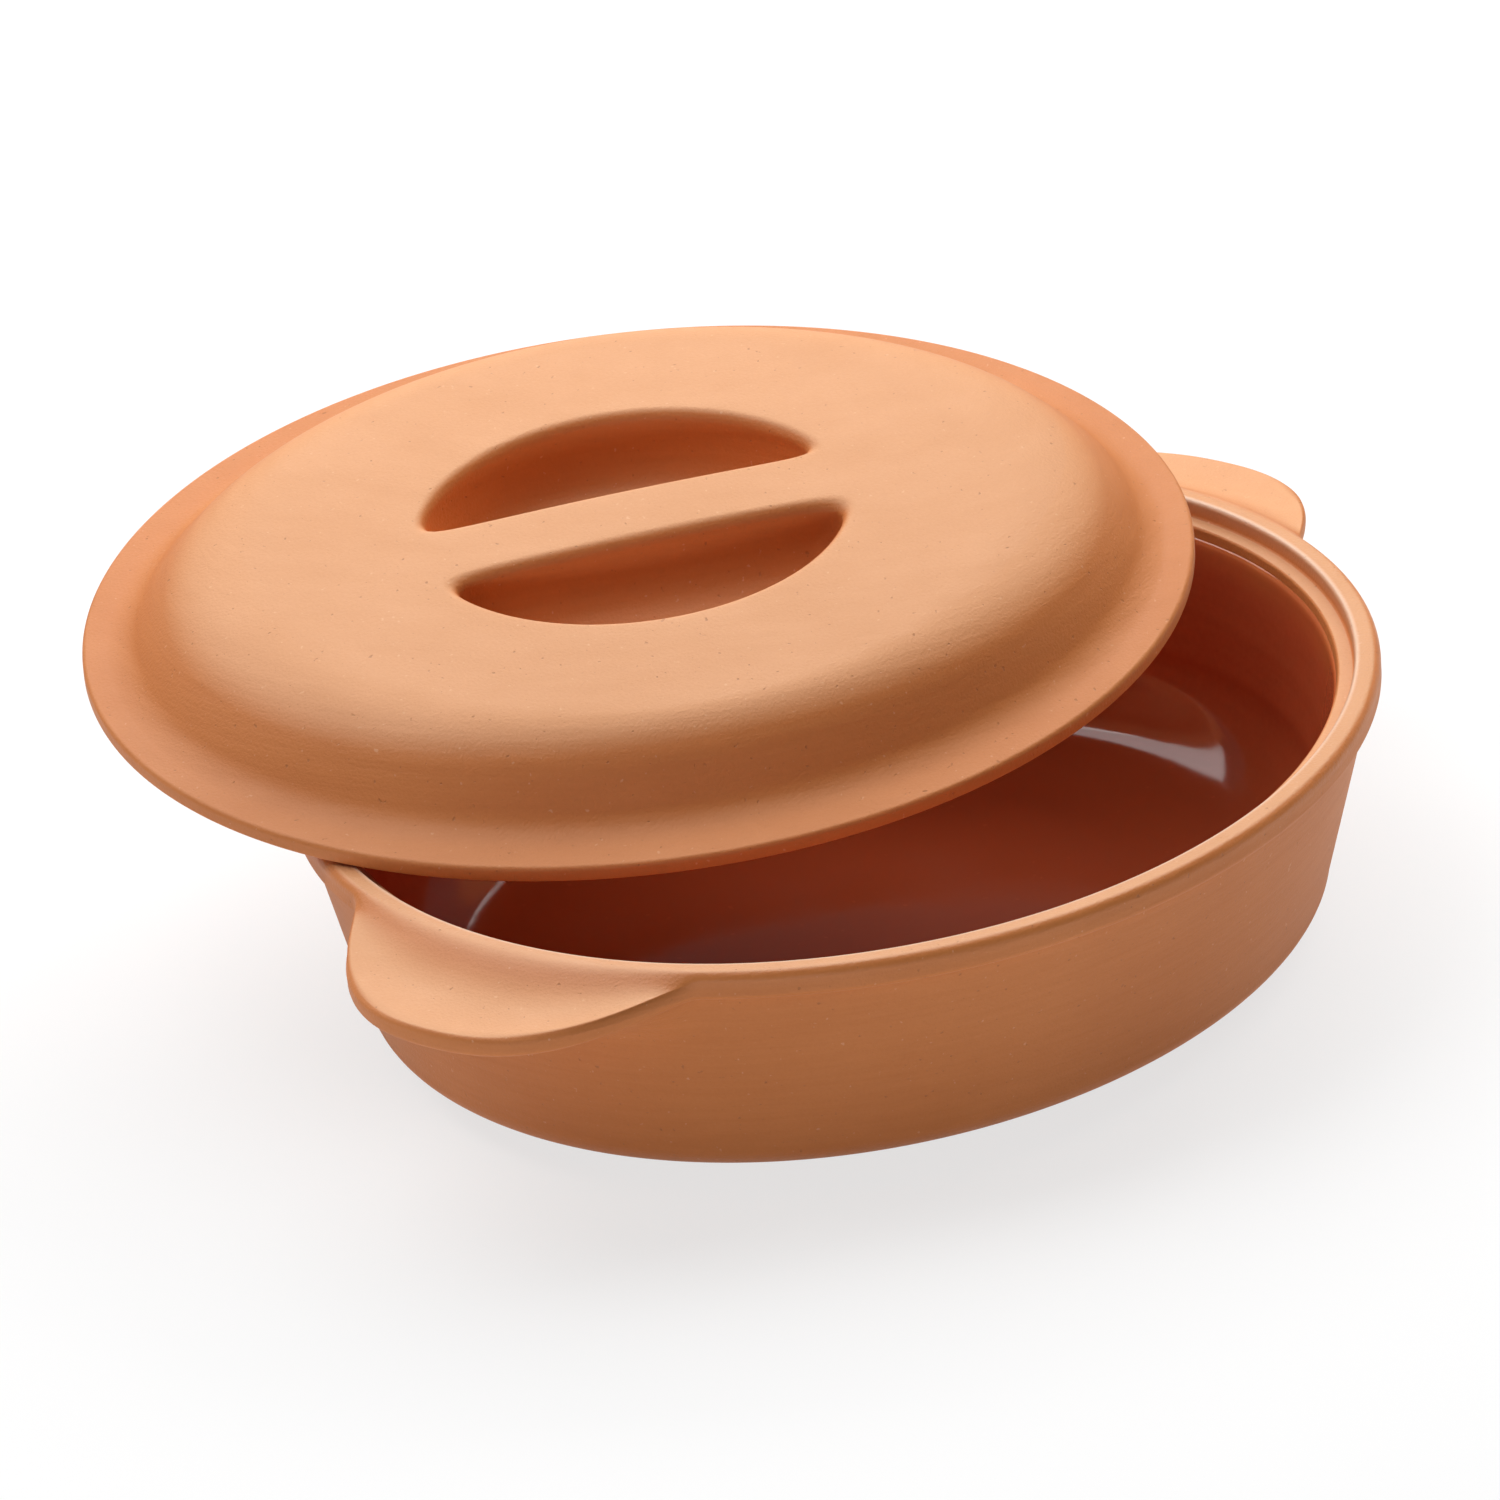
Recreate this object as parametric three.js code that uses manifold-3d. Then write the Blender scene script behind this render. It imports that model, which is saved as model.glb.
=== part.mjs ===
// An oval clay roaster: a deep dish with two crescent lugs and a glazed inside, and its domed lid,
// which leans on the rim of the dish. Millimetres, +Z up. The origin is the middle of the dish's
// foot, and +X runs along the long axis of the dish.

import * as THREE from 'three';
import Module from 'manifold-3d';

// Dish, overall
const RIM_HALF_LENGTH = 166;
const RIM_HALF_WIDTH = 141.5;
const DISH_HEIGHT = 75.5;

// Dish, rim: a band outside, a flat lip on top, and inside it a ledge that seats the lid
const BAND_HEIGHT = 8.4;
const BAND_STEP = 3;
const BAND_EDGE_ROUND = 2.2;
const LIP_WIDTH = 7.4;
const LIP_OUTER_ROUND = 2.8;
const LIP_INNER_ROUND = 1.4;
const LEDGE_DROP = 4.9;
const LEDGE_WIDTH = 4.8;
const LEDGE_NOSE_ROUND = 1;
const LEDGE_FILLET = 0.8;

// Dish, wall and floor: a straight wall that leans out to the band, round at the foot and inside
const WALL_INSET = 16.2;
const WALL_THICKNESS = 6.5;
const FLOOR_THICKNESS = 6.5;
const CORNER_WIDTH = 48;
const CORNER_HEIGHT = 15.4;
const INNER_CORNER_WIDTH = 32;
const INNER_CORNER_HEIGHT = 26;

// Dish, lugs: a crescent shelf at each end, hollowed on top
const LUG_REACH = 33.5;
const LUG_HALF_SPAN = THREE.MathUtils.degToRad(23);
const LUG_FULLNESS = 2.6;
const LUG_BLEND = 1.6;
const LUG_DROP = 8;
const LUG_EDGE = 5.7;
const LUG_EDGE_ROUND = 1.5;
const LUG_ROOT_DEPTH = 26;
const SCOOP_FOOT = 5;
const SCOOP_DIP = 1.5;
const SCOOP_SHOULDER = 3;
const SCOOP_LIP_ROUND = 5;

// Glaze coat on the inside of the dish, from just under the ledge down over the floor
const GLAZE_TOP_DEPTH = 7.6;
const GLAZE_THICKNESS = 0.5;
const GLAZE_BOND_GAP = 0.05;

// Lid: a thin brim that drops inside the lip, and a dome with a crowned top
const LID_CLEARANCE = 3.6;
const BRIM_THICKNESS = 4.6;
const BRIM_LOWER_ROUND = 0.8;
const BRIM_UPPER_ROUND = 1.4;
const BRIM_FLAT = 7;
const BRIM_RISE = 0.3;
const DOME_INSET = 16;
const FLANK_SLOPE = THREE.MathUtils.degToRad(57);
const FLANK_LENGTH = 15.5;
const FLANK_FILLET = 6;
const SHOULDER_ROUND = 20.5;
const CROWN_EDGE_SLOPE = THREE.MathUtils.degToRad(4);
const CROWN_END_INSET = 60;
const END_FOLD = 0.12;
const LID_WALL = 6;
const MOUTH_FLARE = 1.6;

// Lid, grip: two finger recesses sunk in the dome, with a straight bar left between them
const BAR_WIDTH = 25.8;
const RECESS_LAND_ALONG = 32.5;
const RECESS_LAND_ACROSS = 36.8;
const RECESS_DEPTH = 20.5;
const RECESS_LIP_ROUND = 3.5;
const RECESS_VALLEY_WIDTH = 10;
const RECESS_OUTER_RUN = 10;
const RECESS_CORNER_POWER = 9;

// Lid, pose: turned and tilted against the dish, with its low side resting on the lip
const LID_SHIFT_ALONG = -0.6;
const LID_SHIFT_ACROSS = 63.6;
const LID_TURN = THREE.MathUtils.degToRad(-40.6);
const LID_SHORT_AXIS_RISE = THREE.MathUtils.degToRad(8.3);
const LID_LONG_AXIS_RISE = THREE.MathUtils.degToRad(2.5);
const REST_GAP = 0.3;

// Facets
const LUG_COLUMNS = 14;
const SIDE_COLUMNS = 20;
const LUG_MARGIN = THREE.MathUtils.degToRad(2);
const LID_COLUMNS = 64;
const RECESS_COLUMNS = 44;
const BULGE_COLUMNS = 36;
const ROOT_STEPS = 4;
const BAND_EDGE_STEPS = 3;
const SCOOP_STEPS = 5;
const INNER_WALL_STEPS = 3;
const CORNER_STEPS = 6;
const ROUND_STEPS = 2;
const SEAT_STEPS = 1;
const SHOULDER_STEPS = 6;
const FILLET_STEPS = 3;
const RECESS_LIP_STEPS = 3;
const RECESS_WALL_STEPS = 5;
const REST_PASSES = 8;
const REST_COLUMNS = 720;

const { lerp } = THREE.MathUtils;

// Sizes that follow from the ones above
const LEDGE_INNER_INSET = LIP_WIDTH + LEDGE_WIDTH;
const LEDGE_TOP = DISH_HEIGHT - LEDGE_DROP;
const BAND_BOTTOM = DISH_HEIGHT - BAND_HEIGHT;
const INNER_CORNER_TOP = FLOOR_THICKNESS + INNER_CORNER_HEIGHT;
const INNER_WALL_INSET = wallInset(INNER_CORNER_TOP) + WALL_THICKNESS;
const LID_HALF_LENGTH = RIM_HALF_LENGTH - LIP_WIDTH - LID_CLEARANCE;
const LID_HALF_WIDTH = RIM_HALF_WIDTH - LIP_WIDTH - LID_CLEARANCE;

const CLAY = { color: 0xd8935f, roughness: 0.92, metalness: 0 };
const GLAZE = { color: 0x6b2412, roughness: 0.12, metalness: 0 };

// Steps from 0 to 1, both ends included
function steps(count) {
  return Array.from({ length: count + 1 }, (_, k) => k / count);
}

// A skin of triangles that is closed ring by ring. Rings run anticlockwise seen from above, and go
// from the middle of the underside, outwards and up, to the middle of the top.
class Skin {
  constructor() {
    this.points = [];
    this.triangles = [];
  }

  addPoint(point) {
    this.points.push(point);
    return this.points.length - 1;
  }

  addRing(points) {
    return points.map((point) => this.addPoint(point));
  }

  bridge(from, to) {
    from.forEach((a, k) => {
      const next = (k + 1) % from.length;
      this.triangles.push([a, from[next], to[next]], [a, to[next], to[k]]);
    });
  }

  bridgeAll(rings) {
    rings.slice(1).forEach((ring, k) => this.bridge(rings[k], ring));
  }

  closeBelow(ring, middle) {
    const centre = this.addPoint(middle);
    ring.forEach((a, k) => this.triangles.push([centre, ring[(k + 1) % ring.length], a]));
  }

  closeAbove(ring, middle) {
    const centre = this.addPoint(middle);
    ring.forEach((a, k) => this.triangles.push([centre, a, ring[(k + 1) % ring.length]]));
  }

  // The upward face that lies between one ring and the rings inside it
  plate(outer, holes) {
    const flat = (ring) => ring.map((k) => new THREE.Vector2(this.points[k].x, this.points[k].y));
    const clockwise = holes.map((hole) => [...hole].reverse());
    const order = [...outer, ...clockwise.flat()];
    const faces = THREE.ShapeUtils.triangulateShape(flat(outer), clockwise.map(flat));
    faces.forEach((face) => this.triangles.push(face.map((k) => order[k])));
  }

  geometry() {
    const geometry = new THREE.BufferGeometry();
    const numbers = this.points.flatMap((point) => point.toArray());
    geometry.setAttribute('position', new THREE.Float32BufferAttribute(numbers, 3));
    geometry.setIndex(this.triangles.flat());
    return geometry;
  }
}

// A closed body from rings alone, with its first and last ring filled to their own middles
function ringBody(rings, underMiddle, topMiddle) {
  const skin = new Skin();
  const indexed = rings.map((ring) => skin.addRing(ring));
  skin.closeBelow(indexed[0], underMiddle);
  skin.bridgeAll(indexed);
  skin.closeAbove(indexed.at(-1), topMiddle);
  return skin.geometry();
}

function onAxis(z) {
  return new THREE.Vector3(0, 0, z);
}

// Points of a profile are (inset from the rim's oval, height)
function arc(middle, radius, fromDegrees, toDegrees, count) {
  return steps(count).map((t) => {
    const angle = THREE.MathUtils.degToRad(lerp(fromDegrees, toDegrees, t));
    const inset = middle.x + radius * Math.cos(angle);
    return new THREE.Vector2(inset, middle.y + radius * Math.sin(angle));
  });
}

// Angles round the dish, closer together across the two lugs
const DISH_ANGLES = [0, Math.PI].flatMap((side) => {
  const half = LUG_HALF_SPAN + LUG_MARGIN;
  const lug = steps(LUG_COLUMNS).map((t) => side + lerp(-half, half, t));
  const between = steps(SIDE_COLUMNS).map((t) => side + lerp(half, Math.PI - half, t));
  return [...lug.slice(0, -1), ...between.slice(0, -1)];
});

function dishRing(insetAndHeightAt, angles = DISH_ANGLES) {
  return angles.map((angle) => {
    const { x: inset, y: z } = insetAndHeightAt(angle);
    const x = (RIM_HALF_LENGTH - inset) * Math.cos(angle);
    const y = (RIM_HALF_WIDTH - inset) * Math.sin(angle);
    return new THREE.Vector3(x, y, z);
  });
}

// How much of the lug there is at an angle: 1 on the long axis, 0 past its ends
function lugWeight(angle) {
  const fromAxis = Math.asin(Math.abs(Math.sin(angle)));
  const t = Math.min(fromAxis / LUG_HALF_SPAN, 1);
  return (1 - t ** LUG_FULLNESS) ** LUG_BLEND;
}

// Outside of the wall above the corner
function wallInset(z) {
  const t = (z - CORNER_HEIGHT) / (BAND_BOTTOM - CORNER_HEIGHT);
  return lerp(WALL_INSET, BAND_STEP, t);
}

// The round corner between floor and wall: a quarter of an ellipse that goes up from the floor
function cornerProfile(wall, floor, width, height) {
  return steps(CORNER_STEPS).map((t) => {
    const angle = (1 - t) * Math.PI / 2;
    const across = width * (1 - Math.cos(angle));
    const up = height * (1 - Math.sin(angle));
    return new THREE.Vector2(wall + across, floor + up);
  });
}

// Outside of the rim away from the lugs: wall, band and the outer round of the lip
function bandProfile() {
  const root = DISH_HEIGHT - LUG_ROOT_DEPTH;
  const faceTop = DISH_HEIGHT - LIP_OUTER_ROUND;
  const faceBottom = BAND_BOTTOM + BAND_EDGE_ROUND;
  const wall = steps(ROOT_STEPS).map((t) => {
    const z = lerp(root, BAND_BOTTOM, t);
    return new THREE.Vector2(wallInset(z), z);
  });
  const edge = steps(BAND_EDGE_STEPS).slice(1).map((t) => {
    const angle = t * Math.PI / 2;
    const inset = BAND_STEP * (1 - Math.sin(angle));
    return new THREE.Vector2(inset, faceBottom - BAND_EDGE_ROUND * Math.cos(angle));
  });
  const lip = arc(new THREE.Vector2(LIP_OUTER_ROUND, faceTop), LIP_OUTER_ROUND, 180, 90, SCOOP_STEPS);
  return [...wall, ...edge, ...lip];
}

// Outside of the rim at the middle of a lug: underside, rounded edge and scooped top, point for point
// with the band
function lugProfile() {
  const root = DISH_HEIGHT - LUG_ROOT_DEPTH;
  const top = DISH_HEIGHT - LUG_DROP;
  const bottom = top - LUG_EDGE;
  const shelf = LUG_REACH - LUG_EDGE_ROUND;
  const bend = LUG_EDGE_ROUND * (1 - Math.SQRT1_2);
  const under = steps(ROOT_STEPS).map((t) => {
    const angle = t * Math.PI / 2;
    const inset = lerp(-shelf, wallInset(root), Math.cos(angle));
    return new THREE.Vector2(inset, lerp(root, bottom, Math.sin(angle)));
  });
  const edge = [
    new THREE.Vector2(-LUG_REACH + bend, bottom + bend),
    new THREE.Vector2(-LUG_REACH, bottom + LUG_EDGE_ROUND),
    new THREE.Vector2(-LUG_REACH, top - LUG_EDGE_ROUND),
  ];
  const scoop = new THREE.CubicBezierCurve(
    new THREE.Vector2(-shelf, top),
    new THREE.Vector2(-SCOOP_FOOT, top - SCOOP_DIP),
    new THREE.Vector2(-SCOOP_SHOULDER, DISH_HEIGHT),
    new THREE.Vector2(SCOOP_LIP_ROUND, DISH_HEIGHT),
  );
  return [...under, ...edge, ...scoop.getPoints(SCOOP_STEPS)];
}

// The glazed part of the inside, from under the ledge to the floor, set in by a thickness
function insideProfile(coat) {
  const noseEnd = LEDGE_TOP - LEDGE_NOSE_ROUND;
  const wall = steps(INNER_WALL_STEPS).slice(0, -1).map((t) => {
    const z = lerp(DISH_HEIGHT - GLAZE_TOP_DEPTH, INNER_CORNER_TOP, t);
    const up = (z - INNER_CORNER_TOP) / (noseEnd - INNER_CORNER_TOP);
    return new THREE.Vector2(lerp(INNER_WALL_INSET, LEDGE_INNER_INSET, up) + coat, z);
  });
  const width = INNER_CORNER_WIDTH - coat;
  const height = INNER_CORNER_HEIGHT - coat;
  const corner = cornerProfile(INNER_WALL_INSET + coat, FLOOR_THICKNESS + coat, width, height);
  return [...wall, ...corner.reverse()];
}

function dishGeometry() {
  const band = bandProfile();
  const lug = lugProfile();
  const corner = cornerProfile(WALL_INSET, 0, CORNER_WIDTH, CORNER_HEIGHT);
  const rimSide = band.map((point, k) => (angle) => point.clone().lerp(lug[k], lugWeight(angle)));
  const lipInner = new THREE.Vector2(LIP_WIDTH - LIP_INNER_ROUND, DISH_HEIGHT - LIP_INNER_ROUND);
  const seat = new THREE.Vector2(LIP_WIDTH + LEDGE_FILLET, LEDGE_TOP + LEDGE_FILLET);
  const nose = new THREE.Vector2(LEDGE_INNER_INSET - LEDGE_NOSE_ROUND, LEDGE_TOP - LEDGE_NOSE_ROUND);
  const rim = [
    ...arc(lipInner, LIP_INNER_ROUND, 90, 0, ROUND_STEPS),
    ...arc(seat, LEDGE_FILLET, 180, 270, SEAT_STEPS),
    ...arc(nose, LEDGE_NOSE_ROUND, 90, 0, ROUND_STEPS),
  ];
  const fixed = (profile) => profile.map((point) => () => point);
  const profile = [...fixed(corner), ...rimSide, ...fixed(rim), ...fixed(insideProfile(0))];
  return ringBody(profile.map((at) => dishRing(at)), onAxis(0), onAxis(FLOOR_THICKNESS));
}

function glazeGeometry() {
  const back = insideProfile(GLAZE_BOND_GAP).reverse();
  const front = insideProfile(GLAZE_BOND_GAP + GLAZE_THICKNESS);
  const rings = [...back, ...front].map((point) => dishRing(() => point));
  const floor = FLOOR_THICKNESS + GLAZE_BOND_GAP;
  return ringBody(rings, onAxis(floor), onAxis(floor + GLAZE_THICKNESS));
}

// The side of the dome: a straight flank up from the brim, then a round shoulder. The inside follows
// both at the wall's depth.
function flank(along, wall) {
  const out = new THREE.Vector2(Math.cos(FLANK_SLOPE), Math.sin(FLANK_SLOPE)).multiplyScalar(along);
  const deep = new THREE.Vector2(Math.sin(FLANK_SLOPE), -Math.cos(FLANK_SLOPE)).multiplyScalar(wall);
  return new THREE.Vector2(DOME_INSET, BRIM_THICKNESS).add(out).add(deep);
}

function shoulder(slope, wall) {
  const middle = flank(FLANK_LENGTH, SHOULDER_ROUND);
  const radius = SHOULDER_ROUND - wall;
  return new THREE.Vector2(middle.x - radius * Math.sin(slope), middle.y + radius * Math.cos(slope));
}

function shoulderProfile(wall) {
  return steps(SHOULDER_STEPS).map((t) => shoulder(lerp(FLANK_SLOPE, CROWN_EDGE_SLOPE, t), wall));
}

const PLATEAU = shoulder(CROWN_EDGE_SLOPE, 0);

// At the ends of the lid the dome rises from a narrower brim and its shoulder runs out longer
function endInset(inset) {
  if (inset < BRIM_FLAT) {
    return inset;
  }
  const t = (inset - BRIM_FLAT) / (PLATEAU.x - BRIM_FLAT);
  return BRIM_FLAT + (CROWN_END_INSET - BRIM_FLAT) * lerp(t ** 2, t, END_FOLD);
}

function lidRing(inset, z) {
  return steps(LID_COLUMNS).slice(0, -1).map((t) => {
    const angle = t * 2 * Math.PI;
    const x = (LID_HALF_LENGTH - endInset(inset)) * Math.cos(angle);
    const y = (LID_HALF_WIDTH - inset) * Math.sin(angle);
    return new THREE.Vector3(x, y, z);
  });
}

const PLATEAU_HALF_LENGTH = LID_HALF_LENGTH - CROWN_END_INSET;
const PLATEAU_HALF_WIDTH = LID_HALF_WIDTH - PLATEAU.x;
const CROWN_RISE = Math.tan(CROWN_EDGE_SLOPE) * (PLATEAU_HALF_LENGTH + PLATEAU_HALF_WIDTH) / 4;

// The recesses keep a strip of the crowned top between them and the shoulder
const RECESS_HALF_LENGTH = PLATEAU_HALF_LENGTH - RECESS_LAND_ALONG - RECESS_LIP_ROUND;
const RECESS_HALF_WIDTH = PLATEAU_HALF_WIDTH - RECESS_LAND_ACROSS - RECESS_LIP_ROUND;
const RECESS_WIDTH = RECESS_HALF_WIDTH - BAR_WIDTH / 2;
const RECESS_BAR_RUN = RECESS_WIDTH - RECESS_VALLEY_WIDTH - RECESS_OUTER_RUN;

// Height of the crowned top of the lid
function crownHeight(x, y) {
  const outwards = (x / PLATEAU_HALF_LENGTH) ** 2 + (y / PLATEAU_HALF_WIDTH) ** 2;
  return PLATEAU.y + CROWN_RISE * (1 - outwards);
}

// Brim and dome from the middle of the underside to the edge of the crowned top
function lidProfile() {
  const brimTop = BRIM_THICKNESS + BRIM_RISE;
  const fillet = new THREE.QuadraticBezierCurve(
    new THREE.Vector2(BRIM_FLAT, brimTop),
    flank(BRIM_RISE / Math.sin(FLANK_SLOPE), 0),
    flank(FLANK_FILLET, 0),
  );
  const lower = new THREE.Vector2(BRIM_LOWER_ROUND, BRIM_LOWER_ROUND);
  const upper = new THREE.Vector2(BRIM_UPPER_ROUND, BRIM_THICKNESS - BRIM_UPPER_ROUND);
  return [
    ...arc(lower, BRIM_LOWER_ROUND, 270, 180, ROUND_STEPS),
    ...arc(upper, BRIM_UPPER_ROUND, 180, 90, ROUND_STEPS),
    ...fillet.getPoints(FILLET_STEPS),
    ...shoulderProfile(0),
  ];
}

// Outline of one finger recess seen from above: the part of an oval beyond the edge of the bar, with
// round corners. The shifts draw the edge of the bar and the oval inwards.
const RECESS_MIDDLE = (BAR_WIDTH / 2 + RECESS_BAR_RUN + RECESS_HALF_WIDTH - RECESS_OUTER_RUN) / 2;

function recessRing(side, barShift, ovalShift, depth, columns) {
  const toBar = RECESS_MIDDLE - BAR_WIDTH / 2 - barShift;
  const halfLength = RECESS_HALF_LENGTH - ovalShift;
  const halfWidth = RECESS_HALF_WIDTH - ovalShift;
  return steps(columns).slice(0, -1).map((t) => {
    const angle = t * 2 * Math.PI;
    const across = Math.cos(angle) / halfLength;
    const out = Math.sin(angle) / halfWidth;
    const start = RECESS_MIDDLE / halfWidth;
    const square = across ** 2 + out ** 2;
    const toOval = (Math.sqrt((start * out) ** 2 + square * (1 - start ** 2)) - start * out) / square;
    const bar = Math.max(-Math.sin(angle) / toBar, 0) ** RECESS_CORNER_POWER;
    const reach = (bar + toOval ** -RECESS_CORNER_POWER) ** (-1 / RECESS_CORNER_POWER);
    const x = side * reach * Math.cos(angle);
    const y = side * (RECESS_MIDDLE + reach * Math.sin(angle));
    return new THREE.Vector3(x, y, crownHeight(x, y) - depth);
  });
}

// A recess from its rounded lip down to the valley between the bar and its outer wall. With a wall
// thickness it is the bulge that the recess makes inside the lid.
function recessRings(side, wall, columns) {
  const round = RECESS_LIP_ROUND;
  const lip = steps(RECESS_LIP_STEPS).slice(0, -1).map((t) => {
    const angle = t * Math.PI / 2;
    const grow = round * (1 - Math.sin(angle)) + wall;
    return recessRing(side, -grow, -grow, round * (1 - Math.cos(angle)), columns);
  });
  const scoop = steps(RECESS_WALL_STEPS).map((t) => {
    const angle = t * Math.PI / 2;
    const run = 1 - Math.cos(angle);
    const depth = round + (RECESS_DEPTH + wall - round) * Math.sin(angle);
    const barShift = RECESS_BAR_RUN * run - wall;
    const ovalShift = RECESS_OUTER_RUN * run - wall;
    return recessRing(side, barShift, ovalShift, depth, columns);
  });
  return [...lip, ...scoop];
}

function recessMiddle(side, depth) {
  const y = side * RECESS_MIDDLE;
  return new THREE.Vector3(0, y, crownHeight(0, y) - depth);
}

// The lid before it is hollowed
function lidBlank() {
  const skin = new Skin();
  const rings = lidProfile().map(({ x: inset, y: z }) => skin.addRing(lidRing(inset, z)));
  skin.closeBelow(rings[0], onAxis(0));
  skin.bridgeAll(rings);
  const recesses = [1, -1].map((side) => {
    const indexed = recessRings(side, 0, RECESS_COLUMNS).map((ring) => skin.addRing(ring));
    skin.bridgeAll(indexed);
    skin.closeAbove(indexed.at(-1), recessMiddle(side, RECESS_DEPTH));
    return indexed[0];
  });
  skin.plate(rings.at(-1), recesses);
  return skin.geometry();
}

// The space under the dome, with an open mouth inside the brim
function hollowTool() {
  const throat = flank(LID_WALL / Math.tan(FLANK_SLOPE), LID_WALL);
  const mouth = throat.x - MOUTH_FLARE;
  const profile = [
    new THREE.Vector2(mouth - MOUTH_FLARE, -BRIM_THICKNESS),
    new THREE.Vector2(mouth - MOUTH_FLARE, 0),
    new THREE.Vector2(mouth, MOUTH_FLARE),
    throat,
    ...shoulderProfile(LID_WALL),
  ];
  const rings = profile.map(({ x: inset, y: z }) => lidRing(inset, z));
  return ringBody(rings, onAxis(-BRIM_THICKNESS), onAxis(PLATEAU.y + CROWN_RISE - LID_WALL));
}

function bulgeTool(side) {
  const rings = recessRings(side, LID_WALL, BULGE_COLUMNS).reverse();
  return ringBody(rings, recessMiddle(side, RECESS_DEPTH + LID_WALL), recessMiddle(side, 0));
}

const wasm = await Module();
wasm.setup();

function solid(geometry) {
  return new wasm.Manifold(new wasm.Mesh({
    numProp: 3,
    vertProperties: geometry.getAttribute('position').array,
    triVerts: Uint32Array.from(geometry.getIndex().array),
  }));
}

function geometryOf(body) {
  const { vertProperties, triVerts, numProp } = body.getMesh();
  const geometry = new THREE.BufferGeometry();
  geometry.setAttribute('position', new THREE.BufferAttribute(vertProperties, numProp));
  geometry.setIndex(new THREE.BufferAttribute(triVerts, 1));
  return geometry;
}

function lidGeometry() {
  const bulges = solid(bulgeTool(1)).add(solid(bulgeTool(-1)));
  const hollow = solid(hollowTool()).subtract(bulges);
  return geometryOf(solid(lidBlank()).subtract(hollow));
}

// The lid's height comes from the lip: its brim rests on the highest point of the lip under it
function restLid(lid) {
  lid.rotation.set(LID_SHORT_AXIS_RISE, -LID_LONG_AXIS_RISE, LID_TURN, 'ZXY');
  lid.position.set(LID_SHIFT_ALONG, LID_SHIFT_ACROSS, DISH_HEIGHT + LID_HALF_WIDTH);
  const upright = new THREE.Vector3(0, 0, 1).applyEuler(lid.rotation).z;
  const round = steps(REST_COLUMNS).map((t) => t * 2 * Math.PI);
  const lip = [LIP_OUTER_ROUND, LIP_WIDTH / 2, LIP_WIDTH - LIP_INNER_ROUND, LIP_WIDTH].flatMap((inset) => {
    return dishRing(() => new THREE.Vector2(inset, DISH_HEIGHT), round);
  });
  for (let pass = 0; pass < REST_PASSES; pass += 1) {
    lid.updateMatrix();
    const toLid = lid.matrix.clone().invert();
    const heights = lip.map((point) => point.clone().applyMatrix4(toLid)).filter(({ x, y }) => {
      const outline = (x / (LID_HALF_LENGTH + REST_GAP)) ** 2 + (y / (LID_HALF_WIDTH + REST_GAP)) ** 2;
      return outline < 1;
    });
    lid.position.z += (Math.max(...heights.map(({ z }) => z)) + REST_GAP) / upright;
  }
}

function piece(name, geometry, finish) {
  geometry.computeVertexNormals();
  const mesh = new THREE.Mesh(geometry, new THREE.MeshStandardMaterial(finish));
  mesh.name = name;
  return mesh;
}

const roaster = new THREE.Group();
roaster.add(piece('dish', dishGeometry(), CLAY));
roaster.add(piece('dish_glaze', glazeGeometry(), GLAZE));

const lid = piece('lid', lidGeometry(), CLAY);
restLid(lid);
roaster.add(lid);

export default roaster;
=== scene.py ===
import math

import bpy
from mathutils import Euler, Matrix, Vector
from mathutils.geometry import delaunay_2d_cdt


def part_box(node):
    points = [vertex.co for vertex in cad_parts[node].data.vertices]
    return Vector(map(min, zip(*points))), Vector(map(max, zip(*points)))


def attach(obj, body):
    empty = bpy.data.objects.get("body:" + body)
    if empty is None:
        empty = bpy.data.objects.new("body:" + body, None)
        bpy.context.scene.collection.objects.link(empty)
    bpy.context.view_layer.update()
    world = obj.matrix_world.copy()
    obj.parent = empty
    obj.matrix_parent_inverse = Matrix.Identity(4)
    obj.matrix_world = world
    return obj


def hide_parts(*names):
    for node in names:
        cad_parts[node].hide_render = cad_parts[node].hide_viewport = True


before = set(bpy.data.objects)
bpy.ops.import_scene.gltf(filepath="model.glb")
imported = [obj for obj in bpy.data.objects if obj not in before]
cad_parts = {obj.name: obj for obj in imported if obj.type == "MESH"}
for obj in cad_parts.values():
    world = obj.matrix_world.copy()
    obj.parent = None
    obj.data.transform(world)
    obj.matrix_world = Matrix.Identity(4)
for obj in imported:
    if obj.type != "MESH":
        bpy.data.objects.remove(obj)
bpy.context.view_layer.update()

MM = 0.001

# Dish, in millimetres. Its overall sizes come from the frame.
LUG_REACH = 33.5
DISH_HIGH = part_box("dish")[1] / MM
RIM_HALF_LENGTH = DISH_HIGH.x - LUG_REACH
RIM_HALF_WIDTH = DISH_HIGH.y
DISH_HEIGHT = DISH_HIGH.z

# Rim: band outside, lip on top, ledge inside
BAND_HEIGHT = 8.4
BAND_STEP = 3.0
BAND_EDGE_ROUND = 2.2
LIP_WIDTH = 7.4
LIP_OUTER_ROUND = 2.8
LIP_INNER_ROUND = 1.4
LEDGE_DROP = 4.9
LEDGE_WIDTH = 4.8
LEDGE_NOSE_ROUND = 1.0
LEDGE_FILLET = 0.8

# Wall and floor
WALL_INSET = 16.2
WALL_THICKNESS = 6.5
FLOOR_THICKNESS = 6.5
CORNER_WIDTH = 48.0
CORNER_HEIGHT = 15.4
INNER_CORNER_WIDTH = 32.0
INNER_CORNER_HEIGHT = 26.0

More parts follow.
